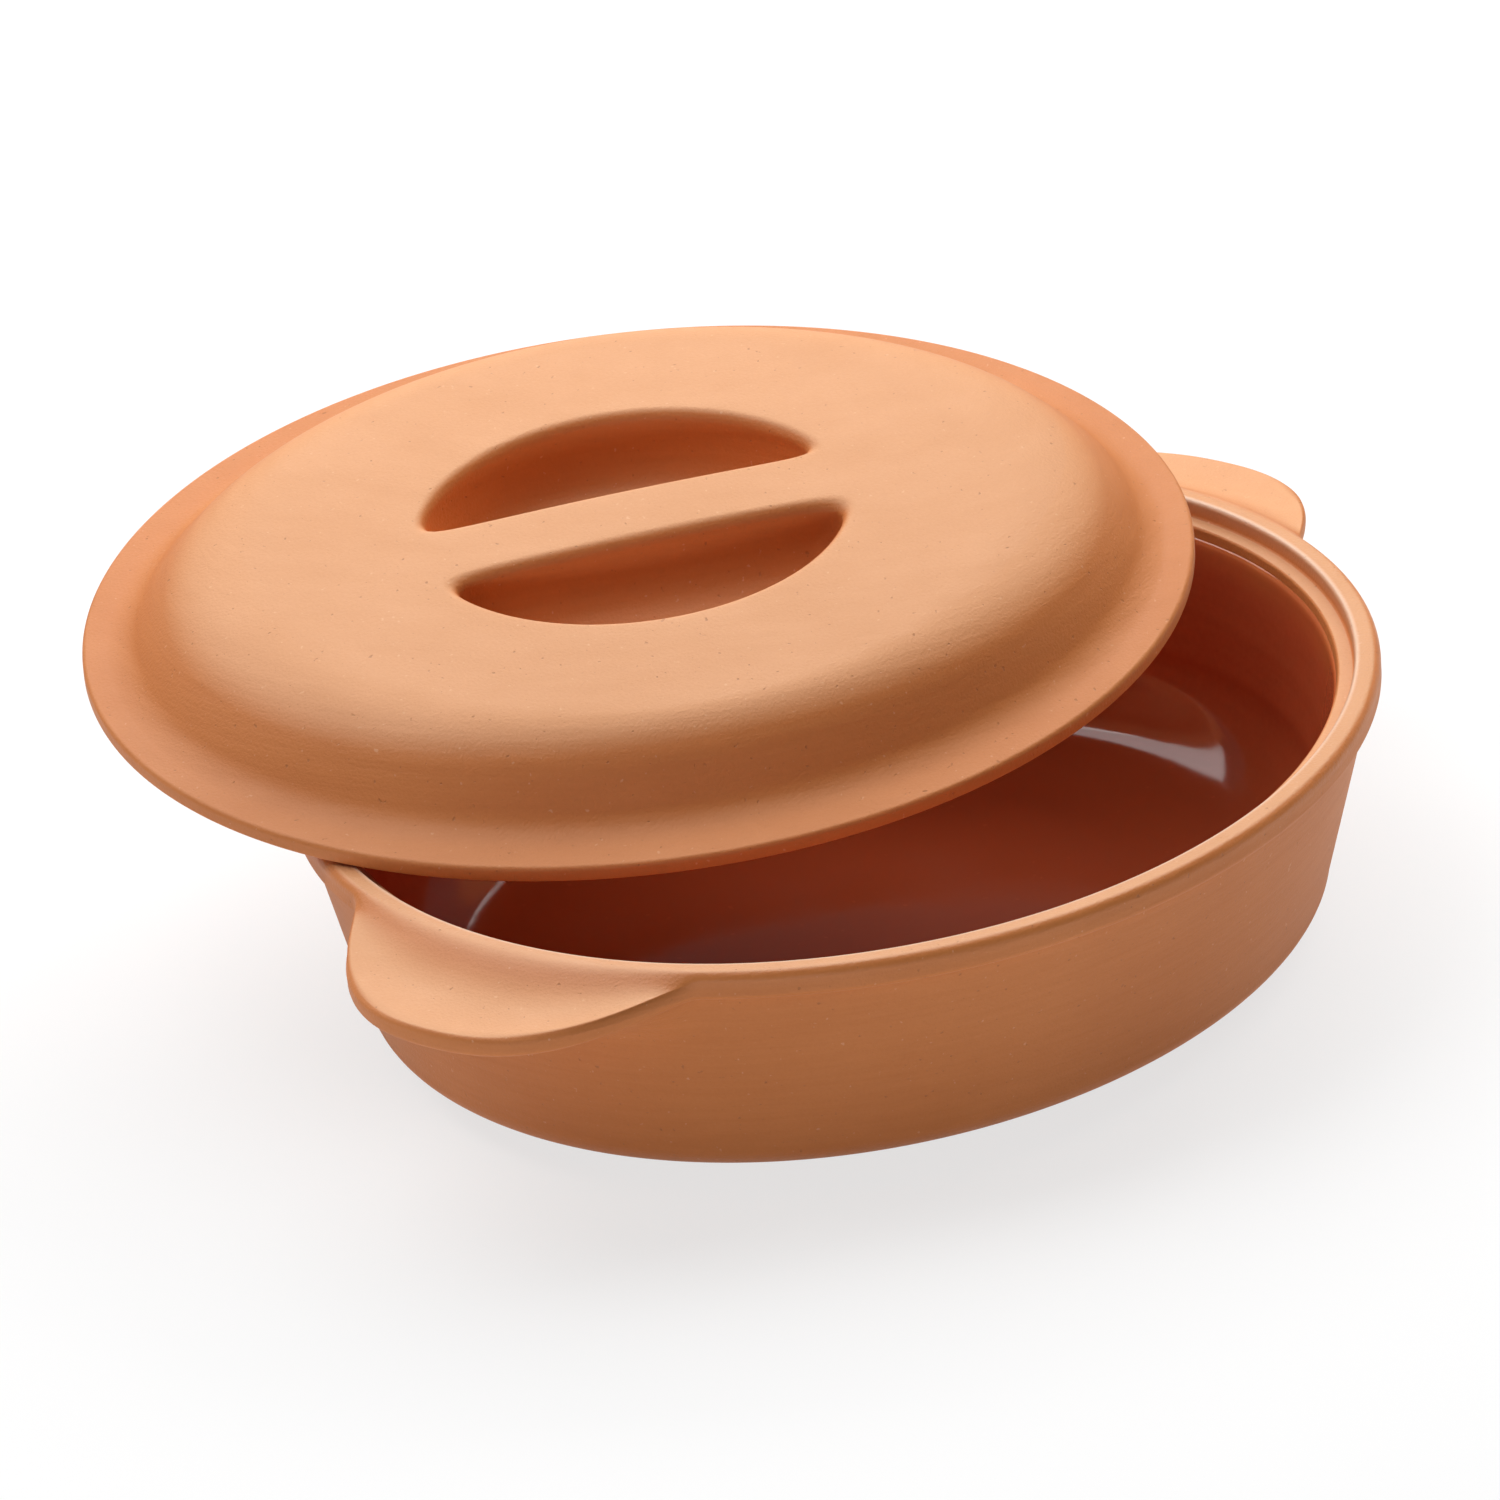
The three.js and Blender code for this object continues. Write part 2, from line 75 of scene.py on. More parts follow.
# Lugs
LUG_HALF_SPAN = math.radians(23)
LUG_FULLNESS = 2.6
LUG_BLEND = 1.6
LUG_DROP = 8.0
LUG_EDGE = 5.7
LUG_EDGE_ROUND = 1.5
LUG_ROOT_DEPTH = 26.0
SCOOP_FOOT = 5.0
SCOOP_DIP = 1.5
SCOOP_SHOULDER = 3.0
SCOOP_LIP_ROUND = 5.0

# Glaze coat
GLAZE_TOP_DEPTH = 7.6
GLAZE_THICKNESS = 0.5
GLAZE_BOND_GAP = 0.05
GLAZE_EDGE_RUN = 1.6
GLAZE_EDGE_WAVE = 0.28
# Each wave of the edge: how often it goes up and down round the dish, where it starts, its share
GLAZE_EDGE_WAVES = ((3, 0.7, 1.0), (7, 2.1, 0.6), (17, 4.0, 0.4))

# Lid
LID_CLEARANCE = 3.6
BRIM_THICKNESS = 4.6
BRIM_LOWER_ROUND = 0.8
BRIM_UPPER_ROUND = 1.4
BRIM_FLAT = 7.0
BRIM_RISE = 0.3
DOME_INSET = 16.0
FLANK_SLOPE = math.radians(57)
FLANK_LENGTH = 15.5
FLANK_FILLET = 6.0
SHOULDER_ROUND = 20.5
CROWN_EDGE_SLOPE = math.radians(4)
CROWN_END_INSET = 60.0
END_FOLD = 0.12
LID_WALL = 6.0
MOUTH_FLARE = 1.6

# Grip: two finger recesses with a bar between them
BAR_WIDTH = 25.8
RECESS_LAND_ALONG = 32.5
RECESS_LAND_ACROSS = 36.8
RECESS_DEPTH = 20.5
RECESS_LIP_ROUND = 3.5
RECESS_VALLEY_WIDTH = 10.0
RECESS_OUTER_RUN = 10.0
RECESS_CORNER_POWER = 9

# Lid, as it leans on the dish
LID_SHIFT = Vector((-0.6, 63.6))
LID_TURN = math.radians(-40.6)
LID_SHORT_AXIS_RISE = math.radians(8.3)
LID_LONG_AXIS_RISE = math.radians(2.5)

# Fineness of the meshes
DISH_COLUMNS = 480
LID_COLUMNS = 360
HOLLOW_COLUMNS = 240
RECESS_COLUMNS = 176
BULGE_COLUMNS = 120
PLATE_GRID = 4.0
PLATE_MARGIN = 0.02
CORNER_STEPS = 28
ROOT_STEPS = 18
EDGE_STEPS = 9
SCOOP_STEPS = 24
LIP_STEPS = 8
SEAT_STEPS = 6
NOSE_STEPS = 7
INNER_WALL_STEPS = 24
FLOOR_STEPS = 6
FLOOR_COVER = 0.9
BRIM_LOWER_STEPS = 6
BRIM_UPPER_STEPS = 8
FILLET_STEPS = 14
FLANK_STEPS = 4
SHOULDER_STEPS = 30
MOUTH_STEPS = 8
HOLLOW_SHOULDER_STEPS = 24
HOLLOW_TOP_STEPS = 8
RECESS_LIP_STEPS = 9
RECESS_WALL_STEPS = 30
BULGE_LIP_STEPS = 6
BULGE_WALL_STEPS = 20

LEDGE_INNER_INSET = LIP_WIDTH + LEDGE_WIDTH
LEDGE_TOP = DISH_HEIGHT - LEDGE_DROP
BAND_BOTTOM = DISH_HEIGHT - BAND_HEIGHT
INNER_CORNER_TOP = FLOOR_THICKNESS + INNER_CORNER_HEIGHT
LID_HALF_LENGTH = RIM_HALF_LENGTH - LIP_WIDTH - LID_CLEARANCE
LID_HALF_WIDTH = RIM_HALF_WIDTH - LIP_WIDTH - LID_CLEARANCE


def lerp(a, b, t):
    return a + (b - a) * t


def steps(count):
    return [k / count for k in range(count + 1)]


def turns(columns):
    return [2 * math.pi * k / columns for k in range(columns)]


# A profile is a list of points (inset from the oval, height)
def arc(middle, radius, start, end, count):
    angles = [math.radians(lerp(start, end, t)) for t in steps(count)]
    return [(middle[0] + radius * math.cos(a), middle[1] + radius * math.sin(a)) for a in angles]


def bezier(points, count):
    curve = []
    for t in steps(count):
        level = [Vector(p) for p in points]
        while len(level) > 1:
            level = [a.lerp(b, t) for a, b in zip(level, level[1:])]
        curve.append(tuple(level[0]))
    return curve


# Closed skin of quads over rings that run anticlockwise seen from above
class Skin:
    def __init__(self):
        self.points = []
        self.faces = []

    def ring(self, points):
        first = len(self.points)
        self.points.extend(points)
        return list(range(first, len(self.points)))

    def bridge(self, rings):
        for lower, upper in zip(rings, rings[1:]):
            for k in range(len(lower)):
                n = (k + 1) % len(lower)
                self.faces.append((lower[k], lower[n], upper[n], upper[k]))

    def close(self, ring, middle, upwards):
        centre = self.ring([middle])[0]
        for k in range(len(ring)):
            n = (k + 1) % len(ring)
            pair = (ring[k], ring[n]) if upwards else (ring[n], ring[k])
            self.faces.append((centre, *pair))

    def mesh(self, name):
        mesh = bpy.data.meshes.new(name)
        mesh.from_pydata([[v * MM for v in p] for p in self.points], [], self.faces)
        mesh.validate()
        mesh.shade_smooth()
        return mesh


def ring_body(name, rings, under_middle, top_middle):
    skin = Skin()
    indexed = [skin.ring(points) for points in rings]
    skin.close(indexed[0], under_middle, upwards=False)
    skin.bridge(indexed)
    skin.close(indexed[-1], top_middle, upwards=True)
    return skin.mesh(name)


def new_object(name, mesh):
    piece = bpy.data.objects.new(name, mesh)
    bpy.context.scene.collection.objects.link(piece)
    return piece


# Dish
def wall_inset(z):
    t = (z - CORNER_HEIGHT) / (BAND_BOTTOM - CORNER_HEIGHT)
    return lerp(WALL_INSET, BAND_STEP, t)


INNER_WALL_INSET = wall_inset(INNER_CORNER_TOP) + WALL_THICKNESS


def corner_profile(wall, floor, width, height):
    points = []
    for t in steps(CORNER_STEPS):
        angle = (1 - t) * math.pi / 2
        points.append((wall + width * (1 - math.cos(angle)), floor + height * (1 - math.sin(angle))))
    return points


def band_profile():
    root = DISH_HEIGHT - LUG_ROOT_DEPTH
    heights = [lerp(root, BAND_BOTTOM, t) for t in steps(ROOT_STEPS)]
    wall = [(wall_inset(z), z) for z in heights]
    edge = []
    for t in steps(EDGE_STEPS)[1:]:
        angle = t * math.pi / 2
        z = BAND_BOTTOM + BAND_EDGE_ROUND * (1 - math.cos(angle))
        edge.append((BAND_STEP * (1 - math.sin(angle)), z))
    lip = arc((LIP_OUTER_ROUND, DISH_HEIGHT - LIP_OUTER_ROUND), LIP_OUTER_ROUND, 180, 90, SCOOP_STEPS)
    return wall + edge + lip


def lug_profile():
    root = DISH_HEIGHT - LUG_ROOT_DEPTH
    top = DISH_HEIGHT - LUG_DROP
    bottom = top - LUG_EDGE
    shelf = LUG_REACH - LUG_EDGE_ROUND
    under = []
    for t in steps(ROOT_STEPS):
        angle = t * math.pi / 2
        inset = lerp(-shelf, wall_inset(root), math.cos(angle))
        under.append((inset, lerp(root, bottom, math.sin(angle))))
    half = EDGE_STEPS // 2
    lower = arc((-shelf, bottom + LUG_EDGE_ROUND), LUG_EDGE_ROUND, 270, 180, half)[1:]
    upper = arc((-shelf, top - LUG_EDGE_ROUND), LUG_EDGE_ROUND, 180, 90, EDGE_STEPS - half)[:-1]
    foot = (-SCOOP_FOOT, top - SCOOP_DIP)
    head = (-SCOOP_SHOULDER, DISH_HEIGHT)
    scoop = bezier([(-shelf, top), foot, head, (SCOOP_LIP_ROUND, DISH_HEIGHT)], SCOOP_STEPS)
    return under + lower + upper + scoop


def lug_weight(angle):
    from_axis = math.asin(min(abs(math.sin(angle)), 1.0))
    t = min(from_axis / LUG_HALF_SPAN, 1.0)
    return (1 - t ** LUG_FULLNESS) ** LUG_BLEND


def inside_profile(coat, top_depth=GLAZE_TOP_DEPTH):
    nose_end = LEDGE_TOP - LEDGE_NOSE_ROUND
    wall = []
    for t in steps(INNER_WALL_STEPS)[:-1]:
        z = lerp(DISH_HEIGHT - top_depth, INNER_CORNER_TOP, t)
        up = (z - INNER_CORNER_TOP) / (nose_end - INNER_CORNER_TOP)
        wall.append((lerp(INNER_WALL_INSET, LEDGE_INNER_INSET, up) + coat, z))
    width = INNER_CORNER_WIDTH - coat
    height = INNER_CORNER_HEIGHT - coat
    corner = corner_profile(INNER_WALL_INSET + coat, FLOOR_THICKNESS + coat, width, height)
    return wall + corner[::-1]


def dish_point(angle, inset, z):
    x = (RIM_HALF_LENGTH - inset) * math.cos(angle)
    y = (RIM_HALF_WIDTH - inset) * math.sin(angle)
    return (x, y, z)


DISH_ANGLES = turns(DISH_COLUMNS)


def plain_rings(profile):
    return [[dish_point(a, inset, z) for a in DISH_ANGLES] for inset, z in profile]


# Rings from the edge of a flat oval towards its middle, so that no face is a long sliver
def floor_rings(inset, z):
    room = RIM_HALF_WIDTH - inset
    return plain_rings([(inset + room * t * FLOOR_COVER, z) for t in steps(FLOOR_STEPS)[1:]])


def dish_mesh():
    corner = corner_profile(WALL_INSET, 0, CORNER_WIDTH, CORNER_HEIGHT)
    lip_middle = (LIP_WIDTH - LIP_INNER_ROUND, DISH_HEIGHT - LIP_INNER_ROUND)
    seat_middle = (LIP_WIDTH + LEDGE_FILLET, LEDGE_TOP + LEDGE_FILLET)
    nose_middle = (LEDGE_INNER_INSET - LEDGE_NOSE_ROUND, LEDGE_TOP - LEDGE_NOSE_ROUND)
    rim = arc(lip_middle, LIP_INNER_ROUND, 90, 0, LIP_STEPS)
    rim += arc(seat_middle, LEDGE_FILLET, 180, 270, SEAT_STEPS)
    rim += arc(nose_middle, LEDGE_NOSE_ROUND, 90, 0, NOSE_STEPS)
    weights = [lug_weight(a) for a in DISH_ANGLES]
    side = []
    for (band_inset, band_z), (lug_inset, lug_z) in zip(band_profile(), lug_profile()):
        ring = []
        for a, w in zip(DISH_ANGLES, weights):
            ring.append(dish_point(a, lerp(band_inset, lug_inset, w), lerp(band_z, lug_z, w)))
        side.append(ring)
    foot = floor_rings(corner[0][0], 0)[::-1]
    inside = inside_profile(0)
    floor = floor_rings(inside[-1][0], FLOOR_THICKNESS)
    rings = foot + plain_rings(corner) + side + plain_rings(rim) + plain_rings(inside) + floor
    return ring_body("dish_clay", rings, (0, 0, 0), (0, 0, FLOOR_THICKNESS))


# The coat thins out to a soft bead at its upper edge, which wanders a little round the dish
def glaze_mesh():
    def wander(angle):
        swing = sum(share * math.sin(count * angle + start) for count, start, share in GLAZE_EDGE_WAVES)
        return GLAZE_EDGE_WAVE * swing / sum(share for _, _, share in GLAZE_EDGE_WAVES)

    depths = [GLAZE_TOP_DEPTH + GLAZE_EDGE_WAVE + wander(a) for a in DISH_ANGLES]

    def rings(coat, feather):
        columns = []
        for angle, depth in zip(DISH_ANGLES, depths):
            base = inside_profile(coat, depth)
            column = []
            for inset, z in base:
                fall = max(DISH_HEIGHT - depth - z, 0) / GLAZE_EDGE_RUN
                thin = feather * (1 - math.sqrt(1 - (1 - min(fall, 1)) ** 2))
                column.append(dish_point(angle, inset - thin, z))
            columns.append(column)
        return [list(ring) for ring in zip(*columns)]

    back = rings(GLAZE_BOND_GAP, 0)
    front = rings(GLAZE_BOND_GAP + GLAZE_THICKNESS, GLAZE_THICKNESS)
    low = FLOOR_THICKNESS + GLAZE_BOND_GAP
    high = low + GLAZE_THICKNESS
    edge = INNER_WALL_INSET + INNER_CORNER_WIDTH
    lower = floor_rings(edge, low)[::-1]
    upper = floor_rings(edge, high)
    return ring_body("dish_glaze_coat", lower + back[::-1] + front + upper, (0, 0, low), (0, 0, high))


# Lid
# The side of the dome: a straight flank, then a round shoulder, both at a depth under the outside
def flank(along, wall):
    inset = DOME_INSET + along * math.cos(FLANK_SLOPE) + wall * math.sin(FLANK_SLOPE)
    return (inset, BRIM_THICKNESS + along * math.sin(FLANK_SLOPE) - wall * math.cos(FLANK_SLOPE))


def shoulder(slope, wall):
    middle = flank(FLANK_LENGTH, SHOULDER_ROUND)
    radius = SHOULDER_ROUND - wall
    return (middle[0] - radius * math.sin(slope), middle[1] + radius * math.cos(slope))


def shoulder_profile(wall, count):
    return [shoulder(lerp(FLANK_SLOPE, CROWN_EDGE_SLOPE, t), wall) for t in steps(count)]


PLATEAU_INSET, PLATEAU_HEIGHT = shoulder(CROWN_EDGE_SLOPE, 0)


# At the ends of the lid the dome rises from a narrower brim and its shoulder runs out longer
def end_inset(inset):
    if inset < BRIM_FLAT:
        return inset
    t = (inset - BRIM_FLAT) / (PLATEAU_INSET - BRIM_FLAT)
    return BRIM_FLAT + (CROWN_END_INSET - BRIM_FLAT) * lerp(t * t, t, END_FOLD)


def lid_ring(inset, z, columns=LID_COLUMNS):
    half = (LID_HALF_LENGTH - end_inset(inset), LID_HALF_WIDTH - inset)
    return [(half[0] * math.cos(a), half[1] * math.sin(a), z) for a in turns(columns)]


PLATEAU_HALF_LENGTH = LID_HALF_LENGTH - CROWN_END_INSET
PLATEAU_HALF_WIDTH = LID_HALF_WIDTH - PLATEAU_INSET
CROWN_RISE = math.tan(CROWN_EDGE_SLOPE) * (PLATEAU_HALF_LENGTH + PLATEAU_HALF_WIDTH) / 4
RECESS_HALF_LENGTH = PLATEAU_HALF_LENGTH - RECESS_LAND_ALONG - RECESS_LIP_ROUND
RECESS_HALF_WIDTH = PLATEAU_HALF_WIDTH - RECESS_LAND_ACROSS - RECESS_LIP_ROUND
RECESS_WIDTH = RECESS_HALF_WIDTH - BAR_WIDTH / 2
RECESS_BAR_RUN = RECESS_WIDTH - RECESS_VALLEY_WIDTH - RECESS_OUTER_RUN
RECESS_MIDDLE = (BAR_WIDTH / 2 + RECESS_BAR_RUN + RECESS_HALF_WIDTH - RECESS_OUTER_RUN) / 2


def out_of_plateau(x, y):
    return (x / PLATEAU_HALF_LENGTH) ** 2 + (y / PLATEAU_HALF_WIDTH) ** 2


def crown_height(x, y):
    return PLATEAU_HEIGHT + CROWN_RISE * (1 - out_of_plateau(x, y))


def lid_profile():
    brim_top = BRIM_THICKNESS + BRIM_RISE
    foot = flank(BRIM_RISE / math.sin(FLANK_SLOPE), 0)
    upper_middle = (BRIM_UPPER_ROUND, BRIM_THICKNESS - BRIM_UPPER_ROUND)
    lower = arc((BRIM_LOWER_ROUND, BRIM_LOWER_ROUND), BRIM_LOWER_ROUND, 270, 180, BRIM_LOWER_STEPS)
    upper = arc(upper_middle, BRIM_UPPER_ROUND, 180, 90, BRIM_UPPER_STEPS)
    fillet = bezier([(BRIM_FLAT, brim_top), foot, flank(FLANK_FILLET, 0)], FILLET_STEPS)
    straight = [flank(lerp(FLANK_FILLET, FLANK_LENGTH, t), 0) for t in steps(FLANK_STEPS)[1:-1]]
    return lower + upper + fillet + straight + shoulder_profile(0, SHOULDER_STEPS)


# How far a recess's outline is from its own middle in one direction
def recess_reach(angle, bar_shift, oval_shift):
    to_bar = RECESS_MIDDLE - BAR_WIDTH / 2 - bar_shift
    across = math.cos(angle) / (RECESS_HALF_LENGTH - oval_shift)
    out = math.sin(angle) / (RECESS_HALF_WIDTH - oval_shift)
    start = RECESS_MIDDLE / (RECESS_HALF_WIDTH - oval_shift)
    square = across ** 2 + out ** 2
    to_oval = (math.sqrt((start * out) ** 2 + square * (1 - start ** 2)) - start * out) / square
    bar = max(-math.sin(angle) / to_bar, 0) ** RECESS_CORNER_POWER
    return (bar + to_oval ** -RECESS_CORNER_POWER) ** (-1 / RECESS_CORNER_POWER)


def recess_ring(side, bar_shift, oval_shift, depth, columns):
    ring = []
    for angle in turns(columns):
        reach = recess_reach(angle, bar_shift, oval_shift)
        x = side * reach * math.cos(angle)
        y = side * (RECESS_MIDDLE + reach * math.sin(angle))
        ring.append((x, y, crown_height(x, y) - depth))
    return ring


def recess_rings(side, wall, columns, lip_count, wall_count):
    rings = []
    for t in steps(lip_count)[:-1]:
        angle = t * math.pi / 2
        grow = RECESS_LIP_ROUND * (1 - math.sin(angle)) + wall
        rings.append(recess_ring(side, -grow, -grow, RECESS_LIP_ROUND * (1 - math.cos(angle)), columns))
    for t in steps(wall_count):
        angle = t * math.pi / 2
        run = 1 - math.cos(angle)
        depth = RECESS_LIP_ROUND + (RECESS_DEPTH + wall - RECESS_LIP_ROUND) * math.sin(angle)
        bar_shift = RECESS_BAR_RUN * run - wall
        oval_shift = RECESS_OUTER_RUN * run - wall
        rings.append(recess_ring(side, bar_shift, oval_shift, depth, columns))
    return rings


def recess_middle(side, depth):
    y = side * RECESS_MIDDLE
    return (0, y, crown_height(0, y) - depth)


def in_recess(x, y, margin):
    side = 1 if y > 0 else -1
    from_middle = Vector((side * x, side * y - RECESS_MIDDLE))
    angle = math.atan2(from_middle.y, from_middle.x)
    lip = recess_reach(angle, -RECESS_LIP_ROUND, -RECESS_LIP_ROUND)
    return from_middle.length < lip * (1 + margin)


# The crowned top between the shoulder and the two recesses, as even triangles
def add_crowned_top(skin, outer, recesses):
    loops = [outer] + recesses
    order = [k for loop in loops for k in loop]
    flat = [Vector(skin.points[k][:2]) for k in order]
    edges = []
    first = 0
    for loop in loops:
        edges += [(first + k, first + (k + 1) % len(loop)) for k in range(len(loop))]
        first += len(loop)
    across = int(PLATEAU_HALF_WIDTH / PLATE_GRID) + 1
    along = int(PLATEAU_HALF_LENGTH / PLATE_GRID) + 1
    for row in range(-across, across + 1):
        for column in range(-along, along + 1):
            x = (column + 0.5 * (row % 2)) * PLATE_GRID
            y = row * PLATE_GRID * math.sqrt(3) / 2
            inside = out_of_plateau(x, y) < (1 - PLATE_MARGIN) ** 2
            if inside and not in_recess(x, y, PLATE_MARGIN):
                order.append(skin.ring([(x, y, crown_height(x, y))])[0])
                flat.append(Vector((x, y)))
    points, _, faces, origins, _, _ = delaunay_2d_cdt(flat, edges, [], 1, 1e-6)
    for face in faces:
        middle = sum((points[k] for k in face), Vector((0, 0))) / len(face)
        if not in_recess(middle.x, middle.y, 0):
            skin.faces.append(tuple(order[origins[k][0]] for k in face))


def lid_blank():
    skin = Skin()
    rings = [skin.ring(lid_ring(inset, z)) for inset, z in lid_profile()]
    skin.close(rings[0], (0, 0, 0), upwards=False)
    skin.bridge(rings)
    lips = []
    for side in (1, -1):
        rings_down = recess_rings(side, 0, RECESS_COLUMNS, RECESS_LIP_STEPS, RECESS_WALL_STEPS)
        recess = [skin.ring(points) for points in rings_down]
        skin.bridge(recess)
        skin.close(recess[-1], recess_middle(side, RECESS_DEPTH), upwards=True)
        lips.append(recess[0])
    add_crowned_top(skin, rings[-1], lips)
    return skin.mesh("lid_blank")


def hollow_tool():
    throat = flank(LID_WALL / math.tan(FLANK_SLOPE), LID_WALL)
    mouth = throat[0] - 2 * MOUTH_FLARE
    flare = bezier([(mouth, 0), (throat[0] - MOUTH_FLARE, MOUTH_FLARE), throat], MOUTH_STEPS)
    profile = [(mouth, -BRIM_THICKNESS), *flare, *shoulder_profile(LID_WALL, HOLLOW_SHOULDER_STEPS)]
    rings = [lid_ring(inset, z, HOLLOW_COLUMNS) for inset, z in profile]
    for t in steps(HOLLOW_TOP_STEPS)[1:-1]:
        half = (PLATEAU_HALF_LENGTH * (1 - t), PLATEAU_HALF_WIDTH * (1 - t))
        flat = [(half[0] * math.cos(a), half[1] * math.sin(a)) for a in turns(HOLLOW_COLUMNS)]
        rings.append([(x, y, crown_height(x, y) - LID_WALL) for x, y in flat])
    top = (0, 0, PLATEAU_HEIGHT + CROWN_RISE - LID_WALL)
    return ring_body("hollow", rings, (0, 0, -BRIM_THICKNESS), top)


def bulge_tool(side):
    rings = recess_rings(side, LID_WALL, BULGE_COLUMNS, BULGE_LIP_STEPS, BULGE_WALL_STEPS)[::-1]
    under = recess_middle(side, RECESS_DEPTH + LID_WALL)
    return ring_body("bulge", rings, under, recess_middle(side, 0))


# Cuts tools out of a body and returns the mesh that is left
def cut(mesh, tools):
    body = new_object("cutting", mesh)
    others = [new_object("cutter", tool) for tool in tools]
    for other in others:
        modifier = body.modifiers.new("cut", "BOOLEAN")
        modifier.operation = "DIFFERENCE"
        modifier.solver = "EXACT"
        modifier.object = other
    graph = bpy.context.evaluated_depsgraph_get()
    left = bpy.data.meshes.new_from_object(body.evaluated_get(graph))
    for done in [body, *others]:
        bpy.data.objects.remove(done)
    return left


SHARP_ABOVE = math.radians(38)


def lid_mesh():
    hollow = cut(hollow_tool(), [bulge_tool(1), bulge_tool(-1)])
    mesh = cut(lid_blank(), [hollow])
    mesh.name = "lid_clay"
    mesh.materials.clear()
    mesh.shade_smooth()
    mesh.set_sharp_from_angle(angle=SHARP_ABOVE)
    return mesh


LID_LEAN = Euler((LID_SHORT_AXIS_RISE, -LID_LONG_AXIS_RISE, LID_TURN), "YXZ").to_matrix()
LID_UPRIGHT = LID_LEAN @ Vector((0, 0, 1))


# Leans the lid as the frame's lid leans, at the height that the frame gives, and returns where it stands
def lean_lid(mesh):
    mesh.transform(LID_LEAN.to_4x4())
    low = min(v.co.z for v in mesh.vertices)
    place = Vector((LID_SHIFT.x * MM, LID_SHIFT.y * MM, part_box("lid")[0].z - low))
    mesh.transform(Matrix.Translation(place))
    return place


# Materials
class Nodes:
    def __init__(self, tree):
        self.tree = tree

    def add(self, kind, values=None, **settings):
        node = self.tree.nodes.new(kind)
        for key, value in settings.items():
            setattr(node, key, value)
        for socket, value in (values or {}).items():
            if isinstance(value, bpy.types.NodeSocket):
                self.tree.links.new(value, node.inputs[socket])
            else:
                node.inputs[socket].default_value = value
        return node

    # The Mix node has sockets for every data type: 6 and 7 are the two colours, output 2 their mix
    def mix(self, factor, a, b):
        return self.add("ShaderNodeMix", {0: factor, 6: a, 7: b}, data_type="RGBA").outputs[2]

    def math(self, operation, a, b=0.0):
        return self.add("ShaderNodeMath", {0: a, 1: b}, operation=operation).outputs[0]

    def vector(self, operation, a, b=(0.0, 0.0, 0.0), output="Vector"):
        return self.add("ShaderNodeVectorMath", {0: a, 1: b}, operation=operation).outputs[output]

    def part(self, vector, axis):
        return self.add("ShaderNodeSeparateXYZ", {"Vector": vector}).outputs[axis]

    def spread(self, value, low, high, to_low=0.0, to_high=1.0):
        values = {"Value": value, "From Min": low, "From Max": high, "To Min": to_low, "To Max": to_high}
        return self.add("ShaderNodeMapRange", values).outputs["Result"]

    def noise(self, vector, scale, detail=2.0, roughness=0.5):
        values = {"Vector": vector, "Scale": scale, "Detail": detail, "Roughness": roughness}
        return self.add("ShaderNodeTexNoise", values).outputs["Fac"]


def new_group(name, inputs, outputs):
    tree = bpy.data.node_groups.new(name, "ShaderNodeTree")
    for socket, kind, value in inputs:
        made = tree.interface.new_socket(socket, in_out="INPUT", socket_type=kind)
        if value is not None:
            made.default_value = value
    for socket, kind in outputs:
        tree.interface.new_socket(socket, in_out="OUTPUT", socket_type=kind)
    nodes = Nodes(tree)
    return tree, nodes, nodes.add("NodeGroupInput"), nodes.add("NodeGroupOutput")


# Fired clay. Scales of noise are per metre.
# A noise keeps mostly between two values, and grit shows at its peaks
NOISE_LOW = 0.3
NOISE_HIGH = 0.7
GRIT_FROM = 0.73
GRIT_TO = 0.80
CLAY_GRAIN_SCALE = 1100.0
GRIT_TO_GRAIN = 0.55
DARK_GRIT_SHIFT = (0.31, 0.17, 0.23)
DARK_GRIT_PIT = 0.4
CLOUD_SCALE = 14.0
CLOUD_SHARE = 0.45
STREAK_SCALE = 420.0
STREAK_SHARE = 0.35
STREAK_STRETCH = (0.06, 0.06, 1.0)
GRAIN_SHARE = 0.2


